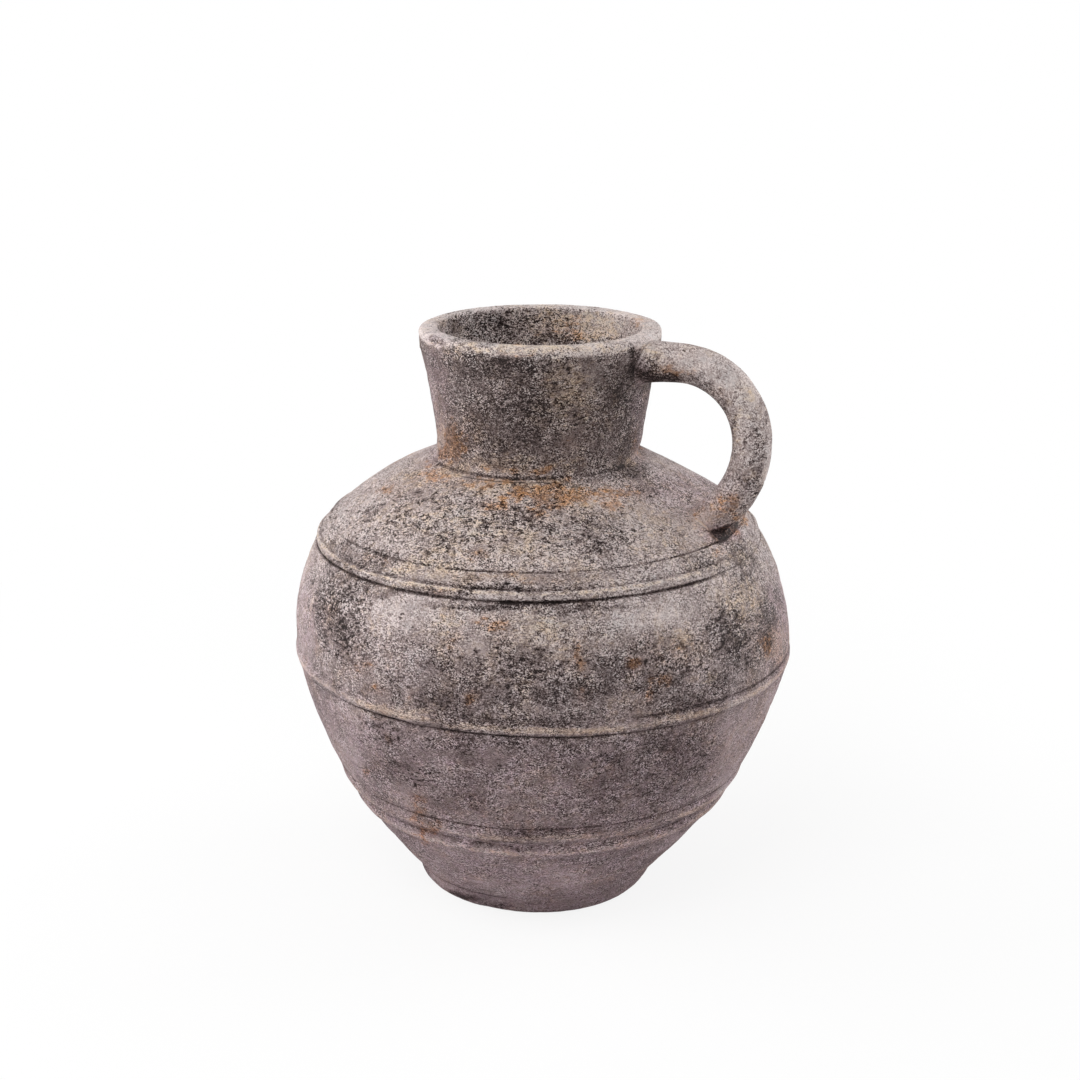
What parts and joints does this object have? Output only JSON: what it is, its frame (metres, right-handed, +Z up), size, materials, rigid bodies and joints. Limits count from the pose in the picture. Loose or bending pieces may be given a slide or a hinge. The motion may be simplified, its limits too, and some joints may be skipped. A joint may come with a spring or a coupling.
{
  "type": "water jar",
  "caption": "Round-bellied stoneware water jar with a flared neck, one bent rod handle and raised bands round shoulder, belly and foot.",
  "frame": {"origin": "centre of the foot's underside, on the floor", "axes": "+Z up along the jar's axis, +X from the axis towards the handle"},
  "size_m": [0.3046, 0.3046, 0.35],
  "materials": {
    "body": "matt antiqued, pitted and stained",
    "foot": "matt antiqued, pitted and stained",
    "cordons": "matt antiqued, pitted and stained",
    "neck": "matt antiqued, pitted and stained",
    "rim": "matt antiqued, pitted and stained",
    "handle": "matt antiqued, pitted and stained"
  },
  "bodies": {
    "root": {"base_slab": "foot", "lower_wall": "body", "lower_cordon": "cordons", "middle_wall": "body", "belly_cordon": "cordons", "upper_wall": "body", "shoulder_cordon": "cordons", "shoulder": "body", "neck_collar": "cordons", "neck": "neck", "rim": "rim", "handle": "handle", "handle_upper_lute": "handle", "handle_lower_lute": "handle"}
  },
  "joints": []
}
